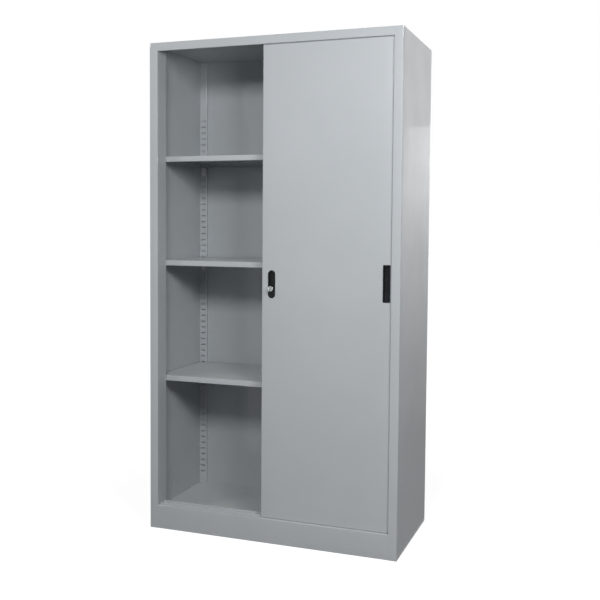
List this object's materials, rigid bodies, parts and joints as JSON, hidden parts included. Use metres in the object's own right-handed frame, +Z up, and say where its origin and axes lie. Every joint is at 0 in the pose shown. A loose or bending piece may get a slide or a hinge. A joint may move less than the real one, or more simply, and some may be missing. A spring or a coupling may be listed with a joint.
{
  "type": "sliding door cabinet",
  "caption": "Tall grey steel storage cabinet with two sliding doors on rollers, adjustable shelves on slotted uprights, recessed finger pulls and a push lock.",
  "frame": {"origin": "on the floor under the middle of the cabinet, midway between its sides and between the front frame and the back", "axes": "+X to the right seen from the front, +Y towards the back, +Z up"},
  "size_m": [0.95, 0.4693, 1.8],
  "materials": {
    "grey_paint": "light grey semi-gloss powder coat",
    "zinc_steel": "zinc plated",
    "bright_chrome": "polished plating",
    "black_plastic": "fine moulded texture",
    "white_nylon": "natural nylon",
    "black_rubber": "matte"
  },
  "bodies": {
    "carcass": {"back_panel": "grey_paint", "top_panel": "grey_paint", "floor_pan": "grey_paint", "front_plinth": "grey_paint", "rear_base_rail": "grey_paint", "bottom_door_track": "grey_paint", "top_door_track": "grey_paint", "left_side_panel": "grey_paint", "left_front_upright": "grey_paint", "left_rear_upright": "grey_paint", "front_track_stop_left": "black_rubber", "rear_track_stop_left": "black_rubber", "right_side_panel": "grey_paint", "right_front_upright": "grey_paint", "right_rear_upright": "grey_paint", "front_track_stop_right": "black_rubber", "rear_track_stop_right": "black_rubber", "upper_shelf_clip_left_front": "zinc_steel", "upper_shelf_clip_left_rear": "zinc_steel", "upper_shelf_clip_right_front": "zinc_steel", "upper_shelf_clip_right_rear": "zinc_steel", "middle_shelf_clip_left_front": "zinc_steel", "middle_shelf_clip_left_rear": "zinc_steel", "middle_shelf_clip_right_front": "zinc_steel", "middle_shelf_clip_right_rear": "zinc_steel", "lower_shelf_clip_left_front": "zinc_steel", "lower_shelf_clip_left_rear": "zinc_steel", "lower_shelf_clip_right_front": "zinc_steel", "lower_shelf_clip_right_rear": "zinc_steel"},
    "upper_shelf": {"upper_shelf": "grey_paint"},
    "middle_shelf": {"middle_shelf": "grey_paint"},
    "lower_shelf": {"lower_shelf": "grey_paint"},
    "right_door": {"right_door_panel": "grey_paint", "right_door_stiffener": "grey_paint", "right_door_finger_pull": "black_plastic", "right_door_roller_bracket_left": "zinc_steel", "right_door_roller_axle_left": "zinc_steel", "right_door_top_guide_left": "white_nylon", "right_door_roller_bracket_right": "zinc_steel", "right_door_roller_axle_right": "zinc_steel", "right_door_top_guide_right": "white_nylon", "lock_housing": "black_plastic", "lock_retainer": "zinc_steel"},
    "left_door": {"left_door_panel": "grey_paint", "left_door_stiffener": "grey_paint", "left_door_finger_pull": "black_plastic", "left_door_roller_bracket_left": "zinc_steel", "left_door_roller_axle_left": "zinc_steel", "left_door_top_guide_left": "white_nylon", "left_door_roller_bracket_right": "zinc_steel", "left_door_roller_axle_right": "zinc_steel", "left_door_top_guide_right": "white_nylon"},
    "right_door_roller_left": {"right_door_roller_left": "white_nylon"},
    "right_door_roller_right": {"right_door_roller_right": "white_nylon"},
    "left_door_roller_left": {"left_door_roller_left": "white_nylon"},
    "left_door_roller_right": {"left_door_roller_right": "white_nylon"},
    "lock_plunger": {"lock_plunger": "bright_chrome"},
    "lock_key": {"lock_core": "bright_chrome", "lock_key": "bright_chrome"}
  },
  "joints": [
    {"name": "upper_shelf_lift", "type": "slide", "parent": "carcass", "child": "upper_shelf", "axis": [0, 0, 1], "range_m": [0, 0.35]},
    {"name": "middle_shelf_lift", "type": "slide", "parent": "carcass", "child": "middle_shelf", "axis": [0, 0, 1], "range_m": [0, 0.35]},
    {"name": "lower_shelf_lift", "type": "slide", "parent": "carcass", "child": "lower_shelf", "axis": [0, 0, 1], "range_m": [0, 0.35]},
    {"name": "right_door_slide", "type": "slide", "parent": "carcass", "child": "right_door", "axis": [1, 0, 0], "range_m": [-0.412, 0]},
    {"name": "left_door_slide", "type": "slide", "parent": "carcass", "child": "left_door", "axis": [1, 0, 0], "range_m": [-0.412, 0]},
    {"name": "right_door_roller_left_turn", "type": "hinge", "parent": "right_door", "child": "right_door_roller_left", "pos_m": [0.026, -0.204, 0.1043], "axis": [0, 1, 0], "range_deg": [-2370, 10]},
    {"name": "right_door_roller_right_turn", "type": "hinge", "parent": "right_door", "child": "right_door_roller_right", "pos_m": [0.386, -0.204, 0.1043], "axis": [0, 1, 0], "range_deg": [-2370, 10]},
    {"name": "left_door_roller_left_turn", "type": "hinge", "parent": "left_door", "child": "left_door_roller_left", "pos_m": [0.026, -0.178, 0.1043], "axis": [0, 1, 0], "range_deg": [-2370, 10]},
    {"name": "left_door_roller_right_turn", "type": "hinge", "parent": "left_door", "child": "left_door_roller_right", "pos_m": [0.386, -0.178, 0.1043], "axis": [0, 1, 0], "range_deg": [-2370, 10]},
    {"name": "lock_plunger_push", "type": "slide", "parent": "right_door", "child": "lock_plunger", "axis": [0, 1, 0], "range_m": [0, 0.01], "stiffness_N_per_m": 400, "springref_m": -0.005},
    {"name": "lock_key_turn", "type": "hinge", "parent": "lock_plunger", "child": "lock_key", "pos_m": [0.0075, -0.204, 0.915], "axis": [0, 1, 0], "range_deg": [0, 90]}
  ],
  "couplings": [
    {"joint": "right_door_roller_left_turn", "follows": "right_door_slide", "rad_per_m": 100},
    {"joint": "right_door_roller_right_turn", "follows": "right_door_slide", "rad_per_m": 100},
    {"joint": "left_door_roller_left_turn", "follows": "left_door_slide", "rad_per_m": 100},
    {"joint": "left_door_roller_right_turn", "follows": "left_door_slide", "rad_per_m": 100}
  ]
}
